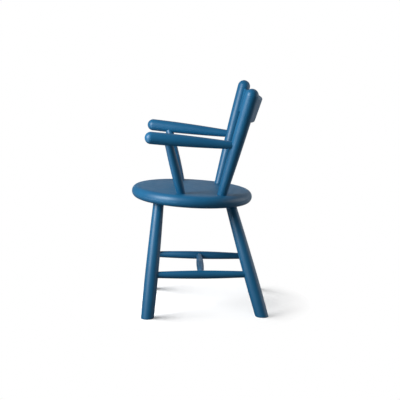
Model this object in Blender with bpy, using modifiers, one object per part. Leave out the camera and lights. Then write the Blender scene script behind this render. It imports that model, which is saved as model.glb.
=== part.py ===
# Child-size armchair in turned, painted wood: a round seat on four splayed legs,
# two raked back posts joined by a curved slat, and two stick armrests on short supports.
#
# The chair faces -Y. Places are measured from the floor point under the middle of
# the seat, and the sitter's left is +X. The empty called "chair" carries every piece
# and moves the origin to the middle of the floor that the chair covers.

import math

import bmesh
import bpy
from mathutils import Matrix, Vector

# Seat: a round board with a fully rounded edge, its front a little higher.
SEAT_HEIGHT = 0.270
SEAT_DIAMETER = 0.2735
SEAT_THICKNESS = 0.027
SEAT_TILT = math.radians(3.2)
SEAT_HOLE_FLOOR = 0.008

# Legs: where each foot stands and where its axis meets the underside of the seat,
# as (sideways, rearward) for the left side. The right side is its mirror image.
FRONT_FOOT = (0.1362, -0.1004)
FRONT_LEG_HOLE = (0.0649, -0.0755)
REAR_FOOT = (0.1247, 0.1527)
REAR_LEG_HOLE = (0.0472, 0.0852)
LEG_FOOT_DIAMETER = 0.0282
LEG_BELLY_DIAMETER = 0.0296
LEG_TOP_DIAMETER = 0.0234
LEG_BELLY_AT = 0.27
FOOT_EASE = 0.0008

# Side stretchers join a front leg to a rear leg, and the cross stretcher joins
# the side stretchers at their middles.
STRETCHER_FRONT_HEIGHT = 0.0910
STRETCHER_REAR_HEIGHT = 0.0886
STRETCHER_END_DIAMETER = 0.0146
STRETCHER_BELLY_DIAMETER = 0.0186
STRETCHER_TENON_PAST_AXIS = 0.004
CROSS_END_DIAMETER = 0.0120
CROSS_BELLY_DIAMETER = 0.0168
CROSS_TENON_PAST_AXIS = 0.002

# Back posts: where the axis meets the top of the seat, and the middle of the
# rounded top end, whose rise is measured from the seat's top.
POST_HOLE = (0.0887, 0.0640)
POST_TOP = (0.1466, 0.1246)
POST_TOP_RISE = 0.2197
POST_FOOT_DIAMETER = 0.0209
POST_BELLY_DIAMETER = 0.0292
POST_TOP_DIAMETER = 0.0290
POST_BELLY_AT = 0.87

# Armrests: the middle of the rounded front end, and the height at which the rear
# end is let into the back post. Rises are measured from the seat's top.
ARM_FRONT = (0.1404, -0.0908)
ARM_FRONT_RISE = 0.1285
ARM_REAR_RISE = 0.1089
ARM_FRONT_DIAMETER = 0.0268
ARM_REAR_DIAMETER = 0.0158
ARM_BELLY_AT = 0.10
ARM_TENON_DIAMETER = 0.0115
ARM_TENON_PAST_AXIS = 0.004

# Arm supports: where the axis meets the top of the seat, and how far behind the
# middle of the armrest's rounded end it meets the armrest's axis.
SUPPORT_HOLE = (0.0968, -0.0259)
SUPPORT_SETBACK = 0.0366
SUPPORT_FOOT_DIAMETER = 0.0184
SUPPORT_BELLY_DIAMETER = 0.0209
SUPPORT_TOP_DIAMETER = 0.0182
SUPPORT_BELLY_AT = 0.42
SUPPORT_TENON_PAST_AXIS = 0.003

# Back slat: a board bent rearward between the posts, with a thinner tongue at each
# end in a mortise. The rise is to its middle, from the seat's top.
SLAT_RISE = 0.1884
SLAT_HEIGHT = 0.0550
SLAT_THICKNESS = 0.0150
SLAT_EDGE_RADIUS = 0.0030
SLAT_RAKE = math.radians(19.0)
SLAT_BOW = 0.0218
SLAT_SETBACK = 0.0045
SLAT_TONGUE_THICKNESS = 0.0085
SLAT_TONGUE_SHOULDER = 0.0060
SLAT_TONGUE_PAST_AXIS = 0.003

# Fits and finish.
JOINT_CLEARANCE = 0.0003
TENON_CHAMFER = 0.0010
PAINT_COLOR = (0.006, 0.105, 0.245, 1.0)
PAINT_ROUGHNESS = 0.45

# Fineness of the round surfaces.
ROD_SIDES = 24
SEAT_SIDES = 56
SWELL_STATIONS = 7
DOME_STATIONS = 5
EDGE_STATIONS = 6
SLAT_STATIONS = 16
CORNER_SEGMENTS = 3
CUTTER_MARGIN = 0.030
SHARP_RIM = math.radians(35.0)

UP = Vector((0.0, 0.0, 1.0))


def clear_scene():
    for old in list(bpy.data.objects):
        bpy.data.objects.remove(old, do_unlink=True)


def make_collection(name):
    collection = bpy.data.collections.new(name)
    bpy.context.scene.collection.children.link(collection)
    return collection


def paint(name):
    material = bpy.data.materials.new(name + "_paint")
    material.use_nodes = True
    shader = material.node_tree.nodes["Principled BSDF"]
    shader.inputs["Base Color"].default_value = PAINT_COLOR
    shader.inputs["Roughness"].default_value = PAINT_ROUGHNESS
    shader.inputs["Metallic"].default_value = 0.0
    material.diffuse_color = PAINT_COLOR
    return material


# Points on the seat

def on_seat_top(place):
    across, back = place
    return Vector((across, back, SEAT_HEIGHT - math.tan(SEAT_TILT) * back))


def on_seat_underside(place):
    drop = SEAT_THICKNESS / math.cos(SEAT_TILT)
    return on_seat_top(place) - UP * drop


def seat_normal():
    return Vector((0.0, math.sin(SEAT_TILT), math.cos(SEAT_TILT)))


def mirrored(point):
    return Vector((-point.x, point.y, point.z))


def on_side(point, side):
    return point.copy() if side == "left" else mirrored(point)


# Rods

class Rod:
    """The axis of a turned rod and its thickness along the stretch from a to b."""

    def __init__(self, a, b, start, belly, end, belly_at):
        self.a = a
        self.b = b
        self.start = start / 2
        self.belly = belly / 2
        self.end = end / 2
        self.belly_at = belly_at

    @property
    def length(self):
        return (self.b - self.a).length

    @property
    def direction(self):
        return (self.b - self.a).normalized()

    def point(self, share):
        return self.a.lerp(self.b, share)

    def radius(self, share):
        """A smooth swelling: widest at the belly, thinner towards both ends."""
        share = min(max(share, 0.0), 1.0)
        if share < self.belly_at:
            away = (self.belly_at - share) / self.belly_at
            return self.belly - (self.belly - self.start) * away ** 1.7
        away = (share - self.belly_at) / (1.0 - self.belly_at)
        return self.belly - (self.belly - self.end) * away ** 1.7

    def share_at_height(self, height):
        return (height - self.a.z) / (self.b.z - self.a.z)

    def trimmed(self, from_a, from_b):
        """The same rod with its swelling kept between two distances from its ends."""
        a = self.a + self.direction * from_a
        b = self.b - self.direction * from_b
        return Rod(a, b, self.start * 2, self.belly * 2, self.end * 2, self.belly_at)

    def stations(self):
        """Radius and distance from a, from b's end down to a's end."""
        steps = SWELL_STATIONS
        shares = [1.0 - step / steps for step in range(steps + 1)]
        return [(self.radius(share), share * self.length) for share in shares]


def axis_frame(origin, direction):
    """A frame at origin whose Z runs along direction and whose X leans outward."""
    z = direction.normalized()
    across = Vector((1.0, 0.0, 0.0)) if abs(z.x) < 0.9 else Vector((0.0, 1.0, 0.0))
    y = z.cross(across).normalized()
    x = y.cross(z)
    frame = Matrix((x, y, z)).transposed().to_4x4()
    frame.translation = origin
    return frame


def tenon_top(radius, tip):
    """Stations of a straight tenon that ends at tip, above the rod."""
    return [(0.0, tip), (radius - TENON_CHAMFER, tip), (radius, tip - TENON_CHAMFER)]


def tenon_foot(radius, tip):
    """Stations of a straight tenon that ends at tip, below the rod."""
    return [(radius, tip + TENON_CHAMFER), (radius - TENON_CHAMFER, tip), (0.0, tip)]


def dome_top(radius, base):
    angles = [math.pi / 2 * (1.0 - step / DOME_STATIONS) for step in range(DOME_STATIONS)]
    return [(radius * math.cos(angle), base + radius * math.sin(angle)) for angle in angles]


def dome_foot(radius, base):
    angles = [math.pi / 2 * (step + 1) / DOME_STATIONS for step in range(DOME_STATIONS)]
    return [(radius * math.cos(angle), base - radius * math.sin(angle)) for angle in angles]


def turned(name, stations, sides, collection):
    """Turn an outline of (radius, height) stations, listed from top to bottom."""
    mesh = bpy.data.meshes.new(name)
    shape = bmesh.new()
    corners = [shape.verts.new((max(radius, 0.0), 0.0, height)) for radius, height in stations]
    for upper, lower in zip(corners, corners[1:]):
        shape.edges.new((upper, lower))
    shape.to_mesh(mesh)
    shape.free()
    turned_object = bpy.data.objects.new(name, mesh)
    collection.objects.link(turned_object)
    turned_object.parent = chair
    screw = turned_object.modifiers.new("Turn", "SCREW")
    screw.axis = "Z"
    screw.angle = math.tau
    screw.steps = sides
    screw.render_steps = sides
    screw.use_merge_vertices = True
    screw.merge_threshold = 0.00001
    screw.use_smooth_shade = True
    return turned_object


def make_piece(name, stations, frame, sides=ROD_SIDES):
    piece = turned(name, stations, sides, pieces)
    piece.matrix_local = frame
    piece.data.materials.append(paint(name))
    return piece


def hide_as_cutter(cutter):
    cutter.display_type = "WIRE"
    cutter.hide_render = True
    return cutter


def make_cutter(name, stations, frame, sides=ROD_SIDES):
    cutter = turned(name, stations, sides, cutters)
    cutter.matrix_local = frame
    return hide_as_cutter(cutter)


def cut(piece, cutter):
    boolean = piece.modifiers.new("Cut " + cutter.name, "BOOLEAN")
    boolean.operation = "DIFFERENCE"
    boolean.solver = "EXACT"
    boolean.object = cutter


def bore(piece, name, tip, outward, radius, depth):
    """Cut a blind round hole whose bottom is just past a tenon's tip."""
    bottom = tip - outward.normalized() * JOINT_CLEARANCE
    wall = radius + JOINT_CLEARANCE
    reach = depth + CUTTER_MARGIN
    outline = [(0.0, reach), (wall, reach), (wall, 0.0), (0.0, 0.0)]
    cutter = make_cutter(name, outline, axis_frame(bottom, outward))
    cut(piece, cutter)


def finish(piece):
    """Keep the cut shape as the piece's own mesh, shaded round with crisp rims."""
    graph = bpy.context.evaluated_depsgraph_get()
    shaped = bpy.data.meshes.new_from_object(piece.evaluated_get(graph))
    rough = piece.data
    piece.modifiers.clear()
    piece.data = shaped
    shaped.name = rough.name + "_finished"
    bpy.data.meshes.remove(rough)
    shaped.shade_smooth()
    shaped.set_sharp_from_angle(angle=SHARP_RIM)


def mouth(neighbour_radius, own_radius, own_direction, neighbour_direction):
    """How far from a neighbour's axis a rod's surface is fully clear of it."""
    along = abs(own_direction.dot(neighbour_direction))
    across = math.sqrt(1.0 - along * along)
    return (neighbour_radius + own_radius * along) / across


def lead_in(radius, direction, normal):
    """How far outside the seat a slanting rod's surface first meets it."""
    along = abs(direction.dot(normal))
    across = math.sqrt(1.0 - along * along)
    return radius * across / along


# Axes of the rods, for the left side

def leg_axis(foot, hole):
    return Rod(
        Vector((foot[0], foot[1], 0.0)),
        on_seat_underside(hole),
        LEG_FOOT_DIAMETER,
        LEG_BELLY_DIAMETER,
        LEG_TOP_DIAMETER,
        LEG_BELLY_AT,
    )


def post_axis():
    return Rod(
        on_seat_top(POST_HOLE),
        Vector((POST_TOP[0], POST_TOP[1], SEAT_HEIGHT + POST_TOP_RISE)),
        POST_FOOT_DIAMETER,
        POST_BELLY_DIAMETER,
        POST_TOP_DIAMETER,
        POST_BELLY_AT,
    )


def arm_axis(post):
    rear = post.point(post.share_at_height(SEAT_HEIGHT + ARM_REAR_RISE))
    return Rod(
        Vector((ARM_FRONT[0], ARM_FRONT[1], SEAT_HEIGHT + ARM_FRONT_RISE)),
        rear,
        ARM_FRONT_DIAMETER,
        ARM_FRONT_DIAMETER,
        ARM_REAR_DIAMETER,
        ARM_BELLY_AT,
    )


def support_axis(arm):
    return Rod(
        on_seat_top(SUPPORT_HOLE),
        arm.a + arm.direction * SUPPORT_SETBACK,
        SUPPORT_FOOT_DIAMETER,
        SUPPORT_BELLY_DIAMETER,
        SUPPORT_TOP_DIAMETER,
        SUPPORT_BELLY_AT,
    )


def side_stretcher_axis(front_leg, rear_leg):
    return Rod(
        front_leg.point(front_leg.share_at_height(STRETCHER_FRONT_HEIGHT)),
        rear_leg.point(rear_leg.share_at_height(STRETCHER_REAR_HEIGHT)),
        STRETCHER_END_DIAMETER,
        STRETCHER_BELLY_DIAMETER,
        STRETCHER_END_DIAMETER,
        0.5,
    )


def cross_stretcher_axis(side_stretcher):
    middle = side_stretcher.point(0.5)
    return Rod(
        middle,
        mirrored(middle),
        CROSS_END_DIAMETER,
        CROSS_BELLY_DIAMETER,
        CROSS_END_DIAMETER,
        0.5,
    )


def for_side(rod, side):
    return Rod(
        on_side(rod.a, side),
        on_side(rod.b, side),
        rod.start * 2,
        rod.belly * 2,
        rod.end * 2,
        rod.belly_at,
    )


# Pieces

def make_seat():
    """A turned board: flat top and underside, and a half-round edge."""
    edge = SEAT_THICKNESS / 2
    flat = SEAT_DIAMETER / 2 - edge
    outline = [(0.0, 0.0), (flat, 0.0)]
    for step in range(1, EDGE_STATIONS):
        angle = math.pi * step / EDGE_STATIONS
        outline.append((flat + edge * math.sin(angle), -edge + edge * math.cos(angle)))
    outline += [(flat, -SEAT_THICKNESS), (0.0, -SEAT_THICKNESS)]
    frame = Matrix.Translation((0.0, 0.0, SEAT_HEIGHT)) @ Matrix.Rotation(-SEAT_TILT, 4, "X")
    return make_piece("seat", outline, frame, SEAT_SIDES)


def seat_tenon_length(direction):
    """The length of a tenon in the seat, leaving wood under the hole."""
    return (SEAT_THICKNESS - SEAT_HOLE_FLOOR) / abs(direction.dot(seat_normal()))


def make_leg(name, leg, seat, floor_cutter):
    """A leg: flat foot on the floor, swelling, and a tenon up into the seat."""
    lead = lead_in(leg.end, leg.direction, seat_normal())
    tenon = seat_tenon_length(leg.direction)
    body = leg.trimmed(0.0, lead)
    below = leg.start
    tip = leg.length + tenon
    outline = tenon_top(leg.end, tip) + body.stations()
    outline += [(leg.start, -below), (0.0, -below)]
    piece = make_piece(name, outline, axis_frame(leg.a, leg.direction))
    cut(piece, floor_cutter)
    ease = piece.modifiers.new("Ease foot", "BEVEL")
    ease.width = FOOT_EASE
    ease.segments = 1
    ease.limit_method = "ANGLE"
    ease.angle_limit = math.radians(60.0)
    tip_point = leg.b + leg.direction * tenon
    bore(seat, name + "_hole", tip_point, -leg.direction, leg.end, tenon)
    return piece


def make_post(side, post, seat):
    """A back post: a tenon down into the seat and a rounded top."""
    name = "back_post_" + side
    lead = lead_in(post.start, post.direction, seat_normal())
    tenon = seat_tenon_length(post.direction)
    body = post.trimmed(lead, 0.0)
    outline = dome_top(post.end, post.length)
    outline += [(radius, height + lead) for radius, height in body.stations()]
    outline += tenon_foot(post.start, -tenon)
    piece = make_piece(name, outline, axis_frame(post.a, post.direction))
    bore(seat, name + "_hole", post.a - post.direction * tenon, post.direction, post.start, tenon)
    return piece


def make_support(side, support, arm, seat, arm_piece):
    """An arm support: a tenon down into the seat and one up into the armrest."""
    name = "arm_support_" + side
    lead = lead_in(support.start, support.direction, seat_normal())
    tenon = seat_tenon_length(support.direction)
    arm_radius = arm.radius(SUPPORT_SETBACK / arm.length)
    top_mouth = mouth(arm_radius, support.end, support.direction, arm.direction)
    body = support.trimmed(lead, top_mouth)
    tip = support.length + SUPPORT_TENON_PAST_AXIS
    outline = tenon_top(support.end, tip)
    outline += [(radius, height + lead) for radius, height in body.stations()]
    outline += tenon_foot(support.start, -tenon)
    piece = make_piece(name, outline, axis_frame(support.a, support.direction))
    foot_tip = support.a - support.direction * tenon
    bore(seat, name + "_hole", foot_tip, support.direction, support.start, tenon)
    top_tip = support.b + support.direction * SUPPORT_TENON_PAST_AXIS
    bore(arm_piece, name + "_socket", top_tip, -support.direction, support.end, arm_radius)
    return piece


def make_arm(side, arm, post, post_piece):
    """An armrest: rounded in front, its rear shoulder scribed to the back post."""
    name = "arm_" + side
    past = ARM_TENON_PAST_AXIS
    outline = [(0.0, arm.length + past + 0.002), (arm.end, arm.length + past + 0.002)]
    outline += arm.stations()
    outline += dome_foot(arm.start, 0.0)
    piece = make_piece(name, outline, axis_frame(arm.a, arm.direction))
    tenon = ARM_TENON_DIAMETER / 2
    tenon_start = -CUTTER_MARGIN
    form = tenon_top(tenon, past) + [(tenon, tenon_start), (0.0, tenon_start)]
    tenon_form = make_cutter(name + "_tenon_form", form, axis_frame(arm.b, arm.direction))
    scribe = make_post_scribe(name + "_scribe", post)
    cut(scribe, tenon_form)
    cut(piece, scribe)
    bore(post_piece, name + "_socket", arm.b + arm.direction * past, -arm.direction, tenon, post.belly)
    return piece


def make_post_scribe(name, post):
    """The back post's own surface, grown by the joint clearance."""
    grown = [(radius + JOINT_CLEARANCE, height) for radius, height in post.stations()]
    top = (0.0, grown[0][1])
    foot = (0.0, grown[-1][1])
    return make_cutter(name, [top] + grown + [foot], axis_frame(post.a, post.direction))


def make_side_stretcher(side, stretcher, front_leg, rear_leg, leg_pieces):
    """A side stretcher: a swelled rod whose whole ends are let into two legs."""
    name = "side_stretcher_" + side
    front_radius = front_leg.radius(front_leg.share_at_height(STRETCHER_FRONT_HEIGHT))
    rear_radius = rear_leg.radius(rear_leg.share_at_height(STRETCHER_REAR_HEIGHT))
    front_mouth = mouth(front_radius, stretcher.start, stretcher.direction, front_leg.direction)
    rear_mouth = mouth(rear_radius, stretcher.end, stretcher.direction, rear_leg.direction)
    body = stretcher.trimmed(front_mouth, rear_mouth)
    past = STRETCHER_TENON_PAST_AXIS
    outline = tenon_top(stretcher.end, stretcher.length + past)
    outline += [(radius, height + front_mouth) for radius, height in body.stations()]
    outline += tenon_foot(stretcher.start, -past)
    piece = make_piece(name, outline, axis_frame(stretcher.a, stretcher.direction))
    front_tip = stretcher.a - stretcher.direction * past
    rear_tip = stretcher.b + stretcher.direction * past
    along = stretcher.direction
    bore(leg_pieces[0], name + "_front_socket", front_tip, along, stretcher.start, front_radius)
    bore(leg_pieces[1], name + "_rear_socket", rear_tip, -along, stretcher.end, rear_radius)
    return piece


def make_cross_stretcher(cross, side_stretcher, side_pieces):
    """The cross stretcher: a thinner swelled rod between the side stretchers."""
    name = "cross_stretcher"
    end_mouth = mouth(side_stretcher.belly, cross.start, cross.direction, side_stretcher.direction)
    body = cross.trimmed(end_mouth, end_mouth)
    past = CROSS_TENON_PAST_AXIS
    outline = tenon_top(cross.end, cross.length + past)
    outline += [(radius, height + end_mouth) for radius, height in body.stations()]
    outline += tenon_foot(cross.start, -past)
    piece = make_piece(name, outline, axis_frame(cross.a, cross.direction))
    left_tip = cross.a - cross.direction * past
    right_tip = cross.b + cross.direction * past
    depth = side_stretcher.belly
    bore(side_pieces[0], name + "_left_socket", left_tip, cross.direction, cross.start, depth)
    bore(side_pieces[1], name + "_right_socket", right_tip, -cross.direction, cross.end, depth)
    return piece


# Back slat

def slat_middle(post):
    """Where the slat's middle height crosses the left post's axis."""
    return post.point(post.share_at_height(SEAT_HEIGHT + SLAT_RISE))


def bent_board(name, post, height, thickness, edge_radius, collection):
    """Spin a rounded section about the raked axis that the board is bent round."""
    crossing = slat_middle(post)
    half_span = crossing.x
    bend_radius = (half_span ** 2 + SLAT_BOW ** 2) / (2 * SLAT_BOW)
    reach = half_span + post.belly * 1.6
    half_angle = math.asin(reach / bend_radius)
    rake = Matrix.Rotation(-SLAT_RAKE, 4, "X")
    back = rake @ Vector((0.0, 1.0, 0.0))
    middle = Vector((0.0, crossing.y + SLAT_SETBACK, crossing.z)) + back * SLAT_BOW
    shape = bmesh.new()
    bmesh.ops.create_grid(shape, x_segments=1, y_segments=1, size=0.5)
    section = Matrix.Rotation(math.pi / 2, 4, "Y")
    section = Matrix.Diagonal((1.0, thickness, height, 1.0)) @ section
    bmesh.ops.transform(shape, matrix=section, verts=shape.verts)
    bmesh.ops.bevel(
        shape,
        geom=list(shape.verts),
        offset=edge_radius,
        offset_type="OFFSET",
        segments=CORNER_SEGMENTS,
        profile=0.5,
        affect="VERTICES",
    )
    bmesh.ops.translate(shape, vec=(0.0, bend_radius, 0.0), verts=shape.verts)
    start = Matrix.Rotation(half_angle, 3, "Z")
    bmesh.ops.rotate(shape, cent=(0.0, 0.0, 0.0), matrix=start, verts=shape.verts)
    bmesh.ops.spin(
        shape,
        geom=list(shape.verts) + list(shape.edges) + list(shape.faces),
        cent=(0.0, 0.0, 0.0),
        axis=(0.0, 0.0, 1.0),
        angle=-2 * half_angle,
        steps=SLAT_STATIONS,
        use_duplicate=False,
    )
    bmesh.ops.recalc_face_normals(shape, faces=shape.faces)
    mesh = bpy.data.meshes.new(name)
    shape.to_mesh(mesh)
    shape.free()
    board = bpy.data.objects.new(name, mesh)
    collection.objects.link(board)
    board.parent = chair
    board.matrix_local = Matrix.Translation(middle) @ rake @ Matrix.Translation((0.0, -bend_radius, 0.0))
    return board


def end_trim(name, post, side, past):
    """A block that ends a board parallel to the post, a little past its axis."""
    size = 0.200
    outward = 1.0 if side == "left" else -1.0
    side_post = for_side(post, side)
    mesh = bpy.data.meshes.new(name)
    shape = bmesh.new()
    bmesh.ops.create_cube(shape, size=size)
    bmesh.ops.translate(shape, vec=(outward * (size / 2 + past), 0.0, 0.0), verts=shape.verts)
    shape.to_mesh(mesh)
    shape.free()
    block = bpy.data.objects.new(name, mesh)
    cutters.objects.link(block)
    block.parent = chair
    block.matrix_local = axis_frame(slat_middle(side_post), side_post.direction)
    return hide_as_cutter(block)


def trim_both_ends(board, post, past):
    for side in ("left", "right"):
        cut(board, end_trim(board.name + "_trim_" + side, post, side, past))


def tongue_board(name, post, growth):
    """The slat's inner board, which shows as a tongue at each end."""
    tongue = bent_board(
        name,
        post,
        SLAT_HEIGHT - 2 * SLAT_TONGUE_SHOULDER + 2 * growth,
        SLAT_TONGUE_THICKNESS + 2 * growth,
        SLAT_TONGUE_THICKNESS * 0.48,
        cutters,
    )
    hide_as_cutter(tongue)
    trim_both_ends(tongue, post, SLAT_TONGUE_PAST_AXIS + growth)
    return tongue


def make_slat(post, posts):
    """The back slat, its shoulders scribed to the posts and its tongues mortised in."""
    name = "back_slat"
    slat = bent_board(name, post, SLAT_HEIGHT, SLAT_THICKNESS, SLAT_EDGE_RADIUS, pieces)
    slat.data.materials.append(paint(name))
    trim_both_ends(slat, post, SLAT_TONGUE_PAST_AXIS + TENON_CHAMFER)
    tongue = tongue_board(name + "_tongue_form", post, 0.0)
    mortise = tongue_board(name + "_mortise", post, JOINT_CLEARANCE)
    for side, post_piece in posts.items():
        scribe = make_post_scribe(name + "_scribe_" + side, for_side(post, side))
        cut(scribe, tongue)
        cut(slat, scribe)
        cut(post_piece, mortise)
    return slat


def make_floor_cutter():
    """A block whose top is the floor, to cut the feet flat."""
    size = 1.0
    mesh = bpy.data.meshes.new("floor_cutter")
    shape = bmesh.new()
    bmesh.ops.create_cube(shape, size=size)
    bmesh.ops.translate(shape, vec=(0.0, 0.0, -size / 2), verts=shape.verts)
    shape.to_mesh(mesh)
    shape.free()
    block = bpy.data.objects.new("floor_cutter", mesh)
    cutters.objects.link(block)
    block.parent = chair
    return hide_as_cutter(block)


def make_chair():
    front_leg = leg_axis(FRONT_FOOT, FRONT_LEG_HOLE)
    rear_leg = leg_axis(REAR_FOOT, REAR_LEG_HOLE)
    post = post_axis()
    arm = arm_axis(post)
    support = support_axis(arm)
    stretcher = side_stretcher_axis(front_leg, rear_leg)

    seat = make_seat()
    floor_cutter = make_floor_cutter()
    posts = {}
    side_stretchers = []
    for side in ("left", "right"):
        side_front = for_side(front_leg, side)
        side_rear = for_side(rear_leg, side)
        side_post = for_side(post, side)
        side_arm = for_side(arm, side)
        legs = [
            make_leg("leg_front_" + side, side_front, seat, floor_cutter),
            make_leg("leg_rear_" + side, side_rear, seat, floor_cutter),
        ]
        side_stretchers.append(
            make_side_stretcher(side, for_side(stretcher, side), side_front, side_rear, legs)
        )
        posts[side] = make_post(side, side_post, seat)
        arm_piece = make_arm(side, side_arm, side_post, posts[side])
        make_support(side, for_side(support, side), side_arm, seat, arm_piece)
    make_cross_stretcher(cross_stretcher_axis(stretcher), stretcher, side_stretchers)
    make_slat(post, posts)


clear_scene()
pieces = make_collection("child_armchair")
cutters = make_collection("cutters")

# The chair covers the floor from the seat's front edge to the rear feet.
front_reach = SEAT_DIAMETER / 2
rear_reach = REAR_FOOT[1] + LEG_FOOT_DIAMETER / 2
chair = bpy.data.objects.new("chair", None)
chair.location = (0.0, (front_reach - rear_reach) / 2, 0.0)
pieces.objects.link(chair)

make_chair()
for piece in [each for each in pieces.objects if each.type == "MESH"]:
    finish(piece)
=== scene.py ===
# %% [markdown]
# # A child's armchair in turned, painted wood
#
# The real chair is a round seat board with sticks let into it: four splayed legs below,
# two back posts and two arm supports above. Stretchers tie the legs, armrests tie the
# supports to the posts, and a bent slat joins the posts. Everything is turned on a lathe
# except the slat, and everything is painted the same blue.
#
# This lesson models each piece the way it would be made: a lathe outline is drawn and
# spun, ends are cut or rounded, holes are drilled, and shoulders are scribed to the
# piece that they meet. The chair faces -Y, and the sitter's left is +X.

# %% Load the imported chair
import math

import bpy
from mathutils import Matrix, Vector


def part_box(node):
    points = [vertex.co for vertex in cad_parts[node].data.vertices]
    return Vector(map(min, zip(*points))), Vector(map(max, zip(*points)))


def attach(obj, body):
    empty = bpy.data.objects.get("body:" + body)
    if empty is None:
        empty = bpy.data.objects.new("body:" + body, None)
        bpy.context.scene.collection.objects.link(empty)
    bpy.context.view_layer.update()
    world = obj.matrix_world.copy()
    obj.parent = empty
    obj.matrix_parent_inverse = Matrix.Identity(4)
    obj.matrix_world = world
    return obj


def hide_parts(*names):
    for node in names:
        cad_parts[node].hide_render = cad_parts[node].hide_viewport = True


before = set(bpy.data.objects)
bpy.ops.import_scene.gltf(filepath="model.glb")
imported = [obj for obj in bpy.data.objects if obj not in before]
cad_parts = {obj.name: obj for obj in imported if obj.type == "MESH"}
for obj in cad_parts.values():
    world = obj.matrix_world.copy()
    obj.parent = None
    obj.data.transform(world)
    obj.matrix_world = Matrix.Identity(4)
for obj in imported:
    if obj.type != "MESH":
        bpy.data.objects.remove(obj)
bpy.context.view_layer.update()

# %% [markdown]
# ## Sizes
#
# A maker writes the cutting list first. These are the chair's own sizes in metres, the
# same ones that its construction uses. Places on the seat are (sideways, rearward) from
# the middle of the seat, for the sitter's left side. The other side is the mirror image,
# which is what multiplying by TO_THE_RIGHT gives.

# %% Cutting list
SEAT_HEIGHT = 0.270
SEAT_DIAMETER = 0.2735
SEAT_THICKNESS = 0.027
SEAT_TILT = math.radians(3.2)
SEAT_HOLE_FLOOR = 0.008

FRONT_FOOT = (0.1362, -0.1004)
FRONT_LEG_HOLE = (0.0649, -0.0755)
REAR_FOOT = (0.1247, 0.1527)
REAR_LEG_HOLE = (0.0472, 0.0852)
LEG_DIAMETERS = (0.0282, 0.0296, 0.0234)
LEG_BELLY_AT = 0.27
FOOT_EASE = 0.0008
FOOT_LEVEL = 0.000001

STRETCHER_FRONT_HEIGHT = 0.0910
STRETCHER_REAR_HEIGHT = 0.0886
STRETCHER_DIAMETERS = (0.0146, 0.0186, 0.0146)
STRETCHER_TENON_PAST_AXIS = 0.004
CROSS_DIAMETERS = (0.0120, 0.0168, 0.0120)
CROSS_TENON_PAST_AXIS = 0.002

POST_HOLE = (0.0887, 0.0640)
POST_TOP = (0.1466, 0.1246)
POST_TOP_RISE = 0.2197
POST_DIAMETERS = (0.0209, 0.0292, 0.0290)
POST_BELLY_AT = 0.87

ARM_FRONT = (0.1404, -0.0908)
ARM_FRONT_RISE = 0.1285
ARM_REAR_RISE = 0.1089
ARM_DIAMETERS = (0.0268, 0.0268, 0.0158)
ARM_BELLY_AT = 0.10
ARM_TENON_DIAMETER = 0.0115
ARM_TENON_PAST_AXIS = 0.004

SUPPORT_HOLE = (0.0968, -0.0259)
SUPPORT_SETBACK = 0.0366
SUPPORT_DIAMETERS = (0.0184, 0.0209, 0.0182)
SUPPORT_BELLY_AT = 0.42
SUPPORT_TENON_PAST_AXIS = 0.003

SLAT_RISE = 0.1884
SLAT_HEIGHT = 0.0550
SLAT_THICKNESS = 0.0150
SLAT_EDGE_RADIUS = 0.0030
SLAT_RAKE = math.radians(19.0)
SLAT_BOW = 0.0218
SLAT_SETBACK = 0.0045
SLAT_TONGUE_THICKNESS = 0.0085
SLAT_TONGUE_SHOULDER = 0.0060
SLAT_TONGUE_PAST_AXIS = 0.003

SWELL_POWER = 1.7
TENON_CHAMFER = 0.0010
PAINTED_GAP = 0.00012
MIDDLE = 0.5
TO_THE_RIGHT = Vector((-1.0, 1.0, 1.0))

# %% [markdown]
# The frame's origin is in the middle of the floor that the chair covers, from the seat's
# front edge to the rear feet, and the list above counts from the middle of the seat. The
# seat board's box in the frame confirms the difference between the two.

# %% Find the middle of the seat
front_reach = SEAT_DIAMETER / 2
rear_reach = REAR_FOOT[1] + LEG_DIAMETERS[0] / 2
SEAT_MIDDLE = (front_reach - rear_reach) / 2
seat_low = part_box("seat")[0]
seat_offset = SEAT_MIDDLE - front_reach - seat_low[1]
print("seat's middle, mm from the origin:", round(SEAT_MIDDLE * 1000, 2))
print("front edge against the frame, mm:", round(seat_offset * 1000, 3))

# %% [markdown]
# ## Camera
#
# The picture was taken from the sitter's left, a little ahead of the seat's middle and
# well above it, with a long lens. A long lens from 2.6 m keeps the sides of the chair
# nearly parallel, and that is why the far legs hide behind the near ones.

# %% Set the camera
CAMERA_PLACE = (2.6118, -0.0379, 0.6751)
CAMERA_TURN = math.radians(88.7807)
CAMERA_DIP = math.radians(80.5521)
CAMERA_ROLL = math.radians(0.1341)
CAMERA_LENS = 104.394

lens = bpy.data.cameras.new("camera")
lens.sensor_width = 36.0
lens.lens = CAMERA_LENS
lens.clip_start = 0.05
camera = bpy.data.objects.new("camera", lens)
bpy.context.scene.collection.objects.link(camera)
turn = Matrix.Rotation(CAMERA_TURN, 4, "Z") @ Matrix.Rotation(CAMERA_DIP, 4, "X")
camera.matrix_world = turn @ Matrix.Rotation(CAMERA_ROLL, 4, "Z")
camera.location = Vector(CAMERA_PLACE) + Vector((0.0, SEAT_MIDDLE, 0.0))
bpy.context.scene.camera = camera
print("camera at", [round(value, 3) for value in camera.location])

# %% [markdown]
# ## The workbench
#
# An operator works on all that is selected, so each step starts from a clear bench. The
# helpers below do what a person does by hand: clear the selection, enter edit mode, do
# something, and come back.

# %% Bench helpers
def clear_bench():
    """Leave edit mode and select nothing."""
    if bpy.context.object and bpy.context.object.mode != "OBJECT":
        bpy.ops.object.mode_set(mode="OBJECT")
    bpy.ops.object.select_all(action="DESELECT")


def take(piece):
    """Select one piece alone and make it active."""
    clear_bench()
    piece.select_set(True)
    bpy.context.view_layer.objects.active = piece


def edit(piece):
    take(piece)
    bpy.ops.object.mode_set(mode="EDIT")
    bpy.ops.mesh.select_all(action="SELECT")


def leave_edit():
    bpy.ops.object.mode_set(mode="OBJECT")


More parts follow.
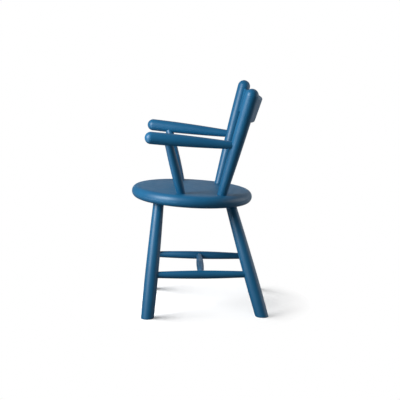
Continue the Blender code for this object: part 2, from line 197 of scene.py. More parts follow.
def fix_in_place(piece, place):
    """Move a finished piece to its place and apply it, so the object sits at the origin."""
    take(piece)
    piece.matrix_world = place
    bpy.ops.object.transform_apply(location=True, rotation=True, scale=True)


def cut_away(piece, tool):
    """Subtract the tool from the piece with a Boolean, and apply it."""
    take(piece)
    cut = piece.modifiers.new("cut", "BOOLEAN")
    cut.operation = "DIFFERENCE"
    cut.solver = "EXACT"
    cut.object = tool
    bpy.ops.object.modifier_apply(modifier=cut.name)


def put_away(*tools):
    for tool in tools:
        bpy.data.objects.remove(tool, do_unlink=True)


# %% [markdown]
# ## The lathe
#
# A turned piece is an outline spun about its axis. By hand that is a single vertex,
# extruded from point to point down one side, and then the Spin operator through a full
# turn. Merging by distance closes the seam and the two poles, and the normals are
# recalculated so that they point outwards.

# %% Lathe
ROD_SIDES = 72
MERGE_DISTANCE = 0.000002


def lathe(name, outline, sides=ROD_SIDES):
    """Spin an outline of (radius, height) points, listed from top to bottom."""
    clear_bench()
    bpy.ops.mesh.primitive_plane_add(size=0.001)
    piece = bpy.context.object
    piece.name = name
    piece.data.name = name
    bpy.ops.object.mode_set(mode="EDIT")
    bpy.ops.mesh.select_all(action="SELECT")
    bpy.ops.mesh.merge(type="CENTER")
    radius, height = outline[0]
    bpy.ops.transform.translate(value=(radius, 0.0, height))
    for next_radius, next_height in outline[1:]:
        step = (next_radius - radius, 0.0, next_height - height)
        bpy.ops.mesh.extrude_vertices_move(TRANSFORM_OT_translate={"value": step})
        radius, height = next_radius, next_height
    bpy.ops.mesh.select_all(action="SELECT")
    bpy.ops.mesh.spin(steps=sides, angle=math.tau, center=(0, 0, 0), axis=(0, 0, 1))
    bpy.ops.mesh.select_all(action="SELECT")
    bpy.ops.mesh.remove_doubles(threshold=MERGE_DISTANCE)
    bpy.ops.mesh.normals_make_consistent(inside=False)
    leave_edit()
    return piece


# %% [markdown]
# A stick's thickness swells smoothly: it is widest at its belly and thins towards both
# ends. A power curve a little below two keeps the ends lively, as a turner's eye does.
# `Stick` holds an axis from a to b and knows its own radius anywhere along it.

# %% Swelling sticks
ROD_STATIONS = 40


class Stick:
    """An axis from a to b with a radius that swells at the belly."""

    def __init__(self, a, b, diameters, belly_at):
        self.a = Vector(a)
        self.b = Vector(b)
        self.start, self.belly, self.end = [value / 2 for value in diameters]
        self.belly_at = belly_at
        self.length = (self.b - self.a).length
        self.direction = (self.b - self.a).normalized()

    def point(self, share):
        return self.a.lerp(self.b, share)

    def at_height(self, height):
        return (height - self.a.z) / (self.b.z - self.a.z)

    def radius(self, share):
        share = min(max(share, 0.0), 1.0)
        if share < self.belly_at:
            away = (self.belly_at - share) / self.belly_at
            return self.belly - (self.belly - self.start) * away ** SWELL_POWER
        away = (share - self.belly_at) / (1.0 - self.belly_at)
        return self.belly - (self.belly - self.end) * away ** SWELL_POWER

    def outline(self, from_a=0.0, from_b=0.0, stations=ROD_STATIONS):
        """Stations from b down to a, with the swelling kept between the two ends' offsets."""
        span = self.length - from_a - from_b
        shares = [1.0 - step / stations for step in range(stations + 1)]
        return [(self.radius(share), from_a + share * span) for share in shares]

    def mirrored(self):
        diameters = (self.start * 2, self.belly * 2, self.end * 2)
        return Stick(self.a * TO_THE_RIGHT, self.b * TO_THE_RIGHT, diameters, self.belly_at)


def along(origin, direction):
    """A place whose Z runs along direction and whose X leans outward."""
    z = direction.normalized()
    across = Vector((1.0, 0.0, 0.0)) if abs(z.x) < 0.9 else Vector((0.0, 1.0, 0.0))
    y = z.cross(across).normalized()
    place = Matrix((y.cross(z), y, z)).transposed().to_4x4()
    place.translation = Vector(origin)
    return place


# %% [markdown]
# ## Where the sticks run
#
# The seat tilts a little, its front higher, so a hole's height follows from where it is.
# All the other axes start from these points: an armrest ends on a post's axis, a support
# ends on an armrest's axis, and a stretcher ends on the legs' axes.

# %% Axes of the left side
def on_seat(place):
    across, back = place
    return Vector((across, back + SEAT_MIDDLE, SEAT_HEIGHT - math.tan(SEAT_TILT) * back))


def under_seat(place):
    return on_seat(place) - Vector((0.0, 0.0, SEAT_THICKNESS / math.cos(SEAT_TILT)))


def above_seat(place, rise):
    return Vector((place[0], place[1] + SEAT_MIDDLE, SEAT_HEIGHT + rise))


def on_floor(place):
    return Vector((place[0], place[1] + SEAT_MIDDLE, 0.0))


SEAT_NORMAL = Vector((0.0, math.sin(SEAT_TILT), math.cos(SEAT_TILT)))

front_leg = Stick(on_floor(FRONT_FOOT), under_seat(FRONT_LEG_HOLE), LEG_DIAMETERS, LEG_BELLY_AT)
rear_leg = Stick(on_floor(REAR_FOOT), under_seat(REAR_LEG_HOLE), LEG_DIAMETERS, LEG_BELLY_AT)
front_joint = front_leg.at_height(STRETCHER_FRONT_HEIGHT)
rear_joint = rear_leg.at_height(STRETCHER_REAR_HEIGHT)
stretcher = Stick(
    front_leg.point(front_joint), rear_leg.point(rear_joint), STRETCHER_DIAMETERS, MIDDLE
)
cross_left = stretcher.point(MIDDLE)
cross_right = cross_left * TO_THE_RIGHT
cross = Stick(cross_left, cross_right, CROSS_DIAMETERS, MIDDLE)
post_top = above_seat(POST_TOP, POST_TOP_RISE)
post = Stick(on_seat(POST_HOLE), post_top, POST_DIAMETERS, POST_BELLY_AT)
arm_joint = post.point(post.at_height(SEAT_HEIGHT + ARM_REAR_RISE))
arm = Stick(above_seat(ARM_FRONT, ARM_FRONT_RISE), arm_joint, ARM_DIAMETERS, ARM_BELLY_AT)
support_top = arm.a + arm.direction * SUPPORT_SETBACK
support = Stick(on_seat(SUPPORT_HOLE), support_top, SUPPORT_DIAMETERS, SUPPORT_BELLY_AT)

for label, stick in (
    ("front leg", front_leg),
    ("rear leg", rear_leg),
    ("post", post),
    ("arm", arm),
):
    lean = math.degrees(stick.direction.angle(Vector((0.0, 0.0, 1.0))))
    print(label, "is", round(stick.length * 1000), "mm long and leans", round(lean, 1), "degrees")

# %% [markdown]
# A slanting stick meets the seat on one side before the other, and a round neighbour
# sooner than its axis. The swelling has to stop there, where the hole's mouth begins,
# or the stick would not go in.

# %% Where a hole's mouth begins
def lead_to_seat(radius, direction):
    cosine = abs(direction.dot(SEAT_NORMAL))
    return radius * math.sqrt(1.0 - cosine * cosine) / cosine


def lead_to_stick(neighbour_radius, radius, direction, neighbour_direction):
    cosine = abs(direction.dot(neighbour_direction))
    return (neighbour_radius + radius * cosine) / math.sqrt(1.0 - cosine * cosine)


def seat_tenon(direction):
    return (SEAT_THICKNESS - SEAT_HOLE_FLOOR) / abs(direction.dot(SEAT_NORMAL))


# %% [markdown]
# ## Ends and joints
#
# A stick ends in one of two ways: a straight tenon with a small chamfer that lets it
# start in its hole, or a round nose. Both are only more points on the lathe outline.
#
# A drill is a plain rod from the lathe, and a Boolean takes it away. The hole is a hair
# wider than its tenon, so a fine dark line shows round each joint, as on the real chair
# where the paint has cracked there.

# %% Tenons, noses and drills
NOSE_STATIONS = 18
DRILL_REACH = 0.030


def tenon_above(radius, tip):
    return [(0.0, tip), (radius - TENON_CHAMFER, tip), (radius, tip - TENON_CHAMFER)]


def tenon_below(radius, tip):
    return [(radius, tip + TENON_CHAMFER), (radius - TENON_CHAMFER, tip), (0.0, tip)]


def nose_above(radius, base):
    angles = [math.pi / 2 * (1.0 - step / NOSE_STATIONS) for step in range(NOSE_STATIONS)]
    return [(radius * math.cos(angle), base + radius * math.sin(angle)) for angle in angles]


def nose_below(radius, base):
    angles = [math.pi / 2 * (step + 1) / NOSE_STATIONS for step in range(NOSE_STATIONS)]
    return [(radius * math.cos(angle), base - radius * math.sin(angle)) for angle in angles]


def make_drill(tip, outward, radius, depth):
    """A rod for a blind hole that ends just past its tenon's tip."""
    wall = radius + PAINTED_GAP
    top = depth + DRILL_REACH
    bit = lathe("drill", [(0.0, top), (wall, top), (wall, 0.0), (0.0, 0.0)])
    fix_in_place(bit, along(tip - outward * PAINTED_GAP, outward))
    return bit


def drill(piece, tip, outward, radius, depth):
    bit = make_drill(tip, outward, radius, depth)
    cut_away(piece, bit)
    put_away(bit)


def drill_both_sides(piece, tip, outward, radius, depth):
    """Bore the same hole on the left and on the right of a piece across the chair."""
    drill(piece, tip, outward, radius, depth)
    drill(piece, tip * TO_THE_RIGHT, outward * TO_THE_RIGHT, radius, depth)


# %% [markdown]
# ## Seat
#
# The seat is a board turned on the faceplate: flat above and below, with a fully rounded
# edge. One more ring of vertices just inside the rounding keeps the flat face flat in
# the shading, because a smooth normal there would otherwise blend over the whole top.

# %% Turn the seat
SEAT_SIDES = 160
EDGE_STATIONS = 22
SUPPORT_RING = 0.0012


def turn_seat():
    edge = SEAT_THICKNESS / 2
    flat = SEAT_DIAMETER / 2 - edge
    outline = [(0.0, 0.0), (flat - SUPPORT_RING, 0.0)]
    for step in range(EDGE_STATIONS + 1):
        angle = math.pi * step / EDGE_STATIONS
        outline.append((flat + edge * math.sin(angle), -edge + edge * math.cos(angle)))
    outline += [(flat - SUPPORT_RING, -SEAT_THICKNESS), (0.0, -SEAT_THICKNESS)]
    piece = lathe("seat_board", outline, SEAT_SIDES)
    middle = Matrix.Translation(on_seat((0.0, 0.0)))
    fix_in_place(piece, middle @ Matrix.Rotation(-SEAT_TILT, 4, "X"))
    return piece


seat_board = turn_seat()
print("seat board:", len(seat_board.data.vertices), "vertices")

# %% [markdown]
# ## Legs
#
# Each leg swells a quarter of the way up and is cut flat on the floor after turning, as
# the four feet of a splayed chair are. Bisect does the cut and fills it, and a small
# bevel eases the rim of the foot so that it doesn't splinter.
#
# Only the left side's sticks are turned. The right side's are mirrored from them when
# they are finished, holes and all, while the seat is drilled on both sides now.

# %% Turn the legs
def turn_leg(name, leg):
    lead = lead_to_seat(leg.end, leg.direction)
    tenon = seat_tenon(leg.direction)
    outline = tenon_above(leg.end, leg.length + tenon) + leg.outline(from_b=lead)
    outline += [(leg.start, -leg.start), (0.0, -leg.start)]
    piece = lathe(name, outline)
    fix_in_place(piece, along(leg.a, leg.direction))
    edit(piece)
    bpy.ops.mesh.bisect(
        plane_co=(0, 0, 0), plane_no=(0, 0, 1), use_fill=True, clear_inner=True
    )
    leave_edit()
    ease_foot(piece)
    tip = leg.b + leg.direction * tenon
    drill_both_sides(seat_board, tip, -leg.direction, leg.end, tenon)
    return piece


def ease_foot(piece):
    """Select the rim of the sawn foot by its height, and bevel it."""
    edit(piece)
    bpy.ops.mesh.select_all(action="DESELECT")
    bpy.ops.mesh.select_mode(type="EDGE")
    leave_edit()
    for edge in piece.data.edges:
        ends = [piece.data.vertices[index].co.z for index in edge.vertices]
        edge.select = max(ends) < FOOT_LEVEL
    bpy.ops.object.mode_set(mode="EDIT")
    bpy.ops.mesh.bevel(offset=FOOT_EASE, segments=3, affect="EDGES")
    bpy.ops.mesh.select_mode(type="VERT")
    leave_edit()


front_leg_piece = turn_leg("front_leg", front_leg)
rear_leg_piece = turn_leg("rear_leg", rear_leg)
print("front leg:", len(front_leg_piece.data.vertices), "vertices")
print("rear leg:", len(rear_leg_piece.data.vertices), "vertices")

# %% [markdown]
# ## Stretchers
#
# A side stretcher goes into a front and a rear leg with its whole end as the tenon. The
# cross stretcher is thinner, because the side stretchers that it goes into are thin.

# %% Turn the stretchers
def turn_side_stretcher():
    front_radius = front_leg.radius(front_joint)
    rear_radius = rear_leg.radius(rear_joint)
    step = stretcher.direction
    front_lead = lead_to_stick(front_radius, stretcher.start, step, front_leg.direction)
    rear_lead = lead_to_stick(rear_radius, stretcher.end, step, rear_leg.direction)
    past = STRETCHER_TENON_PAST_AXIS
    outline = tenon_above(stretcher.end, stretcher.length + past)
    outline += stretcher.outline(front_lead, rear_lead)
    outline += tenon_below(stretcher.start, -past)
    piece = lathe("side_stretcher", outline)
    fix_in_place(piece, along(stretcher.a, step))
    drill(front_leg_piece, stretcher.a - step * past, step, stretcher.start, front_radius)
    drill(rear_leg_piece, stretcher.b + step * past, -step, stretcher.end, rear_radius)
    return piece


def turn_cross_stretcher():
    step = cross.direction
    lead = lead_to_stick(stretcher.belly, cross.start, step, stretcher.direction)
    past = CROSS_TENON_PAST_AXIS
    outline = tenon_above(cross.end, cross.length + past)
    outline += cross.outline(lead, lead)
    outline += tenon_below(cross.start, -past)
    piece = lathe("cross_stretcher_stick", outline)
    fix_in_place(piece, along(cross.a, step))
    drill(side_stretcher, cross.a - step * past, step, cross.start, stretcher.belly)
    return piece


side_stretcher = turn_side_stretcher()
cross_stretcher = turn_cross_stretcher()
print("side stretcher:", len(side_stretcher.data.vertices), "vertices")
print("cross stretcher:", len(cross_stretcher.data.vertices), "vertices")

# %% [markdown]
# ## Back post
#
# The post grows thicker towards the top, where it ends in a round nose. Its foot is a
# whole-end tenon in the seat.

# %% Turn the back post
def turn_post():
    lead = lead_to_seat(post.start, post.direction)
    tenon = seat_tenon(post.direction)
    outline = nose_above(post.end, post.length) + post.outline(from_a=lead)
    outline += tenon_below(post.start, -tenon)
    piece = lathe("back_post", outline)
    fix_in_place(piece, along(post.a, post.direction))
    tip = post.a - post.direction * tenon
    drill_both_sides(seat_board, tip, post.direction, post.start, tenon)
    return piece


back_post = turn_post()
print("back post:", len(back_post.data.vertices), "vertices")

# %% [markdown]
# ## Armrest
#
# An armrest is a tapering stick with a round nose. At the rear its shoulder is scribed:
# shaped hollow so that it sits tight against the round post, with a thinner tenon inside.
# The tool for that is a copy of the post's own surface with a tenon-sized hole in it, so
# the cut leaves the tenon standing.

# %% Turn and scribe the armrest
def post_scribe(stick):
    """The post's surface, grown by the painted gap."""
    grown = [(radius + PAINTED_GAP, height) for radius, height in stick.outline()]
    tool = lathe("scribe", [(0.0, grown[0][1])] + grown + [(0.0, grown[-1][1])])
    fix_in_place(tool, along(stick.a, stick.direction))
    return tool


def turn_arm():
    past = ARM_TENON_PAST_AXIS
    radius = ARM_TENON_DIAMETER / 2
    spare = past + TENON_CHAMFER * 2
    outline = [(0.0, arm.length + spare), (arm.end, arm.length + spare)]
    outline += arm.outline() + nose_below(arm.start, 0.0)
    piece = lathe("armrest", outline)
    fix_in_place(piece, along(arm.a, arm.direction))
    shank = [(radius, -DRILL_REACH), (0.0, -DRILL_REACH)]
    tenon = lathe("tenon", tenon_above(radius, past) + shank)
    fix_in_place(tenon, along(arm.b, arm.direction))
    scribe = post_scribe(post)
    cut_away(scribe, tenon)
    cut_away(piece, scribe)
    put_away(tenon, scribe)
    drill(back_post, arm.b + arm.direction * past, -arm.direction, radius, post.belly)
    return piece


armrest = turn_arm()
print("armrest:", len(armrest.data.vertices), "vertices")

# %% [markdown]
# ## Arm support
#
# The support stands in the seat and goes up into the armrest from below. It leans out
# and forward, so both holes are drilled along its own axis.

# %% Turn the arm support
def turn_support():
    step = support.direction
    tenon = seat_tenon(step)
    arm_radius = arm.radius(SUPPORT_SETBACK / arm.length)
    foot_lead = lead_to_seat(support.start, step)
    top_lead = lead_to_stick(arm_radius, support.end, step, arm.direction)
    past = SUPPORT_TENON_PAST_AXIS
    outline = tenon_above(support.end, support.length + past)
    outline += support.outline(foot_lead, top_lead)
    outline += tenon_below(support.start, -tenon)
    piece = lathe("arm_support", outline)
    fix_in_place(piece, along(support.a, step))
    drill_both_sides(seat_board, support.a - step * tenon, step, support.start, tenon)
    drill(armrest, support.b + step * past, -step, support.end, arm_radius)
    return piece


arm_support = turn_support()
print("arm support:", len(arm_support.data.vertices), "vertices")

# %% [markdown]
# ## Back slat
#
# The slat is the only piece that isn't turned. A board is bent rearward about an axis
# that leans with the back. By hand that is a rectangle with its corners beveled round,
# spun through a small angle. Its ends are sawn parallel to the posts, its shoulders are
# scribed to them, and a thinner tongue at each end goes into a mortise.

# %% Bend and saw a board
SLAT_STEPS = 64
CORNER_STEPS = 6
BOARD_SPARE = 1.6
TONGUE_ROUNDING = 0.48

crossing = post.point(post.at_height(SEAT_HEIGHT + SLAT_RISE))
bend_radius = (crossing.x ** 2 + SLAT_BOW ** 2) / (2 * SLAT_BOW)


def bend_board(name, height, thickness, corner):
    """Spin a round-cornered section about the raked axis of the bend."""
    half_angle = math.asin((crossing.x + post.belly * BOARD_SPARE) / bend_radius)
    clear_bench()
    bpy.ops.mesh.primitive_plane_add(size=1.0)
    board = bpy.context.object
    board.name = name
    edit(board)
    bpy.ops.transform.resize(value=(thickness, height, 1.0))
    bpy.ops.mesh.bevel(
        offset=corner, offset_type="OFFSET", segments=CORNER_STEPS, affect="VERTICES"
    )
    leave_edit()
    upright = Matrix.Rotation(math.pi / 2, 4, "Z") @ Matrix.Rotation(math.pi / 2, 4, "X")
    start = Matrix.Rotation(half_angle, 4, "Z") @ Matrix.Translation((0.0, bend_radius, 0.0))
    fix_in_place(board, start @ upright)
    edit(board)
    bpy.ops.mesh.spin(steps=SLAT_STEPS, angle=2 * half_angle, center=(0, 0, 0), axis=(0, 0, 1))
    bpy.ops.mesh.select_all(action="SELECT")
    bpy.ops.mesh.normals_make_consistent(inside=False)
    leave_edit()
    rake = Matrix.Rotation(-SLAT_RAKE, 4, "X")
    back = rake @ Vector((0.0, 1.0, 0.0))
    middle = Vector((0.0, crossing.y + SLAT_SETBACK, crossing.z)) + back * SLAT_BOW
    place = Matrix.Translation(middle) @ rake @ Matrix.Translation((0.0, -bend_radius, 0.0))
    fix_in_place(board, place)
    return board


def saw_ends(board, past):
    """Bisect both ends parallel to the posts, a little past the posts' axes."""
    for stick, outward in ((post, 1.0), (post.mirrored(), -1.0)):
        across = along(stick.a, stick.direction).to_3x3() @ Vector((outward, 0.0, 0.0))
        edit(board)
        bpy.ops.mesh.bisect(
            plane_co=stick.a + across * past, plane_no=across, use_fill=True, clear_outer=True
        )
        leave_edit()


# %% Scribe the slat and mortise the post
def tongue_board(name, growth):
    board = bend_board(
        name,
        SLAT_HEIGHT - 2 * SLAT_TONGUE_SHOULDER + 2 * growth,
        SLAT_TONGUE_THICKNESS + 2 * growth,
        SLAT_TONGUE_THICKNESS * TONGUE_ROUNDING,
    )
    saw_ends(board, SLAT_TONGUE_PAST_AXIS + growth)
    return board


def make_slat():
    board = bend_board("slat_board", SLAT_HEIGHT, SLAT_THICKNESS, SLAT_EDGE_RADIUS)
    saw_ends(board, SLAT_TONGUE_PAST_AXIS + TENON_CHAMFER)
    tongue = tongue_board("tongue", 0.0)
    mortise = tongue_board("mortise", PAINTED_GAP)
    for stick in (post, post.mirrored()):
        scribe = post_scribe(stick)
        cut_away(scribe, tongue)
        cut_away(board, scribe)
        put_away(scribe)
    cut_away(back_post, mortise)
    put_away(tongue, mortise)
    return board


slat_board = make_slat()
print("slat, mm:", [round(value * 1000, 1) for value in slat_board.dimensions])

# %% [markdown]
# ## Shading, and the right side
#
# Smooth shading hides the facets of the lathe, and an angle limit keeps the rims crisp.
# Then the left side's finished sticks are duplicated, each copy with its own mesh, and
# mirrored. A mirrored mesh is inside out until its normals are flipped back.

# %% Shade and mirror
SHARP_ANGLE = math.radians(35.0)


def shade(piece):
    take(piece)
    bpy.ops.object.shade_smooth_by_angle(angle=SHARP_ANGLE)


def mirror_copy(piece, name):
    take(piece)
    bpy.ops.object.duplicate(linked=False)
    copy = bpy.context.object
    copy.name = name
    copy.data.name = name
    bpy.ops.transform.mirror(orient_type="GLOBAL", constraint_axis=(True, False, False))
    bpy.ops.object.transform_apply(location=True, rotation=True, scale=True)
    edit(copy)
    bpy.ops.mesh.normals_make_consistent(inside=False)
    leave_edit()
    return copy


left_sticks = {
    "leg_front": front_leg_piece,
    "leg_rear": rear_leg_piece,
    "side_stretcher": side_stretcher,
    "back_post": back_post,
    "arm": armrest,
    "arm_support": arm_support,
}
chair_pieces = {"seat": seat_board, "cross_stretcher": cross_stretcher, "back_slat": slat_board}
for node, piece in left_sticks.items():
    piece.name = node + "_left_turned"
    chair_pieces[node + "_left"] = piece
    chair_pieces[node + "_right"] = mirror_copy(piece, node + "_right_turned")
for node, piece in chair_pieces.items():
    shade(piece)
    low = [min(vertex.co[axis] for vertex in piece.data.vertices) for axis in range(3)]
    high = [max(vertex.co[axis] for vertex in piece.data.vertices) for axis in range(3)]
    node_low, node_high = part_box(node)
    apart = max(abs(a - b) for a, b in zip(low + high, list(node_low) + list(node_high)))
    print(node, "differs from its node's box by at most", round(apart * 1000, 2), "mm")

# %% [markdown]
# ## Blue paint
#
# The wood is sprayed with a satin blue lacquer. Up close such a coat is not one flat
# blue: its tone drifts a little, the gloss is uneven, the long grain shows through as
# faint raised lines, and the spray leaves a fine orange-peel texture.
#
# Grain runs along a stick, so each stick gets the same paint with the pattern turned to
# its own axis. A Mapping node of type TEXTURE does that: it takes the stick's place and
# turn, and hands on coordinates whose Z runs along the wood.

# %% Blue paint
PAINT_BLUE = (0.006, 0.110, 0.232, 1.0)
PAINT_DEEP = (0.005, 0.093, 0.202, 1.0)
PAINT_WORN = (0.022, 0.146, 0.280, 1.0)
PAINT_ROUGHNESS = (0.39, 0.47)
PAINT_SPECULAR = 0.5
EDGE_POINTINESS = (0.54, 0.62)
EDGE_WEAR = (0.0, 0.6)
GRAIN_STRETCH = (1.0, 1.0, 0.05)
GRAIN_SCALE = 700.0
GRAIN_HEIGHT = 0.00006
PEEL_SCALE = 1500.0
PEEL_HEIGHT = 0.00002
DRIFT_SCALE = 14.0
CLOUD_SCALE = 60.0


def node_at(tree, kind, x, y, **values):
    node = tree.nodes.new(kind)
    node.location = (x, y)
    for name, value in values.items():
        setattr(node, name, value)
    return node


def noise(tree, vector, scale, detail, x, y):
    texture = node_at(tree, "ShaderNodeTexNoise", x, y)
    texture.inputs["Scale"].default_value = scale
    texture.inputs["Detail"].default_value = detail
    tree.links.new(vector, texture.inputs["Vector"])
    return texture.outputs["Fac"]


def spread(tree, value, from_range, to_range, x, y):
    """A Map Range node: the middle of a noise, stretched to a useful range."""
    node = node_at(tree, "ShaderNodeMapRange", x, y)
    names = ("From Min", "From Max", "To Min", "To Max")
    for name, number in zip(names, from_range + to_range):
        node.inputs[name].default_value = number
    tree.links.new(value, node.inputs["Value"])
    return node.outputs["Result"]


def bump(tree, height, distance, normal, x, y):
    node = node_at(tree, "ShaderNodeBump", x, y)
    node.inputs["Strength"].default_value = 1.0
    node.inputs["Distance"].default_value = distance
    tree.links.new(height, node.inputs["Height"])
    if normal:
        tree.links.new(normal, node.inputs["Normal"])
    return node.outputs["Normal"]


def blend(tree, factor, first, second, x, y):
    node = node_at(tree, "ShaderNodeMix", x, y, data_type="RGBA")
    for socket, colour in ((node.inputs[6], first), (node.inputs[7], second)):
        if isinstance(colour, tuple):
            socket.default_value = colour
        else:
            tree.links.new(colour, socket)
    tree.links.new(factor, node.inputs["Factor"])
    return node.outputs[2]


def blue_paint(name, origin, direction):
    """Satin blue lacquer on a piece of wood whose grain runs along direction."""
    material = bpy.data.materials.new(name)
    material.use_nodes = True
    tree = material.node_tree
    shader = tree.nodes["Principled BSDF"]
    place = along(origin, direction)
    coordinates = node_at(tree, "ShaderNodeTexCoord", -1500, 0)
    turned = node_at(tree, "ShaderNodeMapping", -1300, 0, vector_type="TEXTURE")
    turned.inputs["Location"].default_value = place.translation
    turned.inputs["Rotation"].default_value = place.to_euler("XYZ")
    tree.links.new(coordinates.outputs["Object"], turned.inputs["Vector"])
    wood = turned.outputs["Vector"]
    stretched = node_at(tree, "ShaderNodeMapping", -1100, -200)
    stretched.inputs["Scale"].default_value = GRAIN_STRETCH
    tree.links.new(wood, stretched.inputs["Vector"])
    grain = noise(tree, stretched.outputs["Vector"], GRAIN_SCALE, 4.0, -900, -200)
    peel = noise(tree, wood, PEEL_SCALE, 2.0, -900, -450)
    drift = noise(tree, wood, DRIFT_SCALE, 3.0, -900, 150)
    cloud = noise(tree, wood, CLOUD_SCALE, 4.0, -900, 400)

    tone = spread(tree, drift, (0.35, 0.65), (0.0, 1.0), -650, 150)
    base = blend(tree, tone, PAINT_DEEP, PAINT_BLUE, -400, 150)
    edges = node_at(tree, "ShaderNodeNewGeometry", -900, 650)
    wear = spread(tree, edges.outputs["Pointiness"], EDGE_POINTINESS, EDGE_WEAR, -650, 650)
    worn = blend(tree, wear, base, PAINT_WORN, -200, 150)
    tree.links.new(worn, shader.inputs["Base Color"])
    gloss = spread(tree, cloud, (0.3, 0.7), PAINT_ROUGHNESS, -400, -50)
    tree.links.new(gloss, shader.inputs["Roughness"])
    raised = bump(tree, grain, GRAIN_HEIGHT, None, -500, -300)
    surface = bump(tree, peel, PEEL_HEIGHT, raised, -250, -400)
    tree.links.new(surface, shader.inputs["Normal"])
    shader.inputs["Specular IOR Level"].default_value = PAINT_SPECULAR
    return material


GRAIN_ALONG = {
    "seat": (on_seat((0.0, 0.0)), Vector((0.0, 1.0, 0.0))),
    "cross_stretcher": (cross.a, cross.direction),
    "back_slat": (crossing * Vector((0.0, 1.0, 1.0)), Vector((1.0, 0.0, 0.0))),
}
for node, stick in (
    ("leg_front", front_leg),
    ("leg_rear", rear_leg),
    ("side_stretcher", stretcher),
    ("back_post", post),
    ("arm", arm),
    ("arm_support", support),
):
    right = stick.mirrored()
    GRAIN_ALONG[node + "_left"] = (stick.a, stick.direction)
    GRAIN_ALONG[node + "_right"] = (right.a, right.direction)

for node, piece in chair_pieces.items():
    piece.data.materials.clear()
    piece.data.materials.append(blue_paint("blue_paint_" + node, *GRAIN_ALONG[node]))
print(len(chair_pieces), "pieces painted")

# %% [markdown]
# ## Join the pieces to the frame
#
# Each finished piece stands for the CAD node of the same name: it hides that node and
# moves with the same body. This chair has no moving parts, so there is one body.

# %% Replace the nodes
for node, piece in chair_pieces.items():
    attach(piece, "root")
    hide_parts(node)
print("pieces that replace nodes:", sorted(chair_pieces))

# %% [markdown]
# ## Floor and background
#
# The chair stands on a white floor that runs into a white background with no edge. Near
# the chair the camera sees the floor's own light and shadow, and further out it sees
# plain white, as on a cut-out picture that keeps its contact shadow. To light that
# bounces the floor is matt grey card. In reflections the floor glows with painted light
# instead: dark in front of the chair and grey behind, with two painted pools of light
# beside the lamps.

# %% Lay the floor
FLOOR_SIZE = 60.0
FLOOR_CARD = (0.15, 0.15, 0.15, 1.0)
FLOOR_SEEN = (1.0, 1.0, 1.0, 1.0)
SHADOW_REACH = (0.15, 0.26)
SHADOW_FILL = (0.06, 1.0)
# Painted glow that reflections see on the floor: dark in front of the chair, grey behind.
FLOOR_DEPTH = (0.6, -1.2)
FLOOR_PAINTED_GLOW = (0.05, 0.30)
# Painted pools of light on the floor beside the lamps, seen only in reflections.
FLOOR_PAINTED_POOLS = (
    ((0.55, -0.95, 0.0), (0.20, 0.75), 5.0),
    ((-0.55, 0.85, 0.0), (0.25, 0.90), 0.7),
)


def white_floor():
    material = bpy.data.materials.new("white_floor")
    material.use_nodes = True
    tree = material.node_tree
    tree.nodes.clear()
    output = node_at(tree, "ShaderNodeOutputMaterial", 600, 0)
    rays = node_at(tree, "ShaderNodeLightPath", -900, 250)
    seen = blend(tree, rays.outputs["Is Camera Ray"], FLOOR_CARD, FLOOR_SEEN, -300, -50)
    card = node_at(tree, "ShaderNodeBsdfDiffuse", 0, 0)
    tree.links.new(seen, card.inputs["Color"])
    # What reflections see of the floor is this emission, a painted glow, not the lamps' light.
    mirrored = node_at(tree, "ShaderNodeEmission", 0, 150)
    plain = node_at(tree, "ShaderNodeEmission", 0, -150)
    plain.inputs["Strength"].default_value = 1.0
    coordinates = node_at(tree, "ShaderNodeTexCoord", -1100, 0)
    away = node_at(tree, "ShaderNodeVectorMath", -900, 0, operation="LENGTH")
    tree.links.new(coordinates.outputs["Object"], away.inputs[0])
    split = node_at(tree, "ShaderNodeSeparateXYZ", -900, 450)
    tree.links.new(coordinates.outputs["Object"], split.inputs[0])
    # The floor's painted glow, raised inside each painted pool of light.
    painted_glow = spread(tree, split.outputs["X"], FLOOR_DEPTH, FLOOR_PAINTED_GLOW, -650, 450)
    for row, (place, reach, tone) in enumerate(FLOOR_PAINTED_POOLS):
        above = 650 + 200 * row
        from_painted_pool = node_at(tree, "ShaderNodeVectorMath", -900, above, operation="DISTANCE")
        from_painted_pool.inputs[1].default_value = place
        tree.links.new(coordinates.outputs["Object"], from_painted_pool.inputs[0])
        painted_pool = spread(tree, from_painted_pool.outputs["Value"], reach, (tone, 0.0), -650, above)
        brighter = node_at(tree, "ShaderNodeMath", -400, above, operation="MAXIMUM")
        tree.links.new(painted_glow, brighter.inputs[0])
        tree.links.new(painted_pool, brighter.inputs[1])
        painted_glow = brighter.outputs[0]
    tree.links.new(painted_glow, mirrored.inputs["Strength"])
    lit = node_at(tree, "ShaderNodeMixShader", 150, 100)
    tree.links.new(rays.outputs["Is Glossy Ray"], lit.inputs[0])
    tree.links.new(card.outputs[0], lit.inputs[1])
    tree.links.new(mirrored.outputs[0], lit.inputs[2])
    far = spread(tree, away.outputs["Value"], SHADOW_REACH, SHADOW_FILL, -650, 50)
    share = node_at(tree, "ShaderNodeMath", -300, 250, operation="MULTIPLY")
    tree.links.new(rays.outputs["Is Camera Ray"], share.inputs[0])
    tree.links.new(far, share.inputs[1])
    mixed = node_at(tree, "ShaderNodeMixShader", 300, 0)
    tree.links.new(share.outputs[0], mixed.inputs[0])
    tree.links.new(lit.outputs[0], mixed.inputs[1])
    tree.links.new(plain.outputs[0], mixed.inputs[2])
    tree.links.new(mixed.outputs[0], output.inputs["Surface"])
    return material


clear_bench()
bpy.ops.mesh.primitive_plane_add(size=FLOOR_SIZE)
floor = bpy.context.object
floor.name = "floor"
floor.data.materials.append(white_floor())
print("floor laid,", FLOOR_SIZE, "m across")

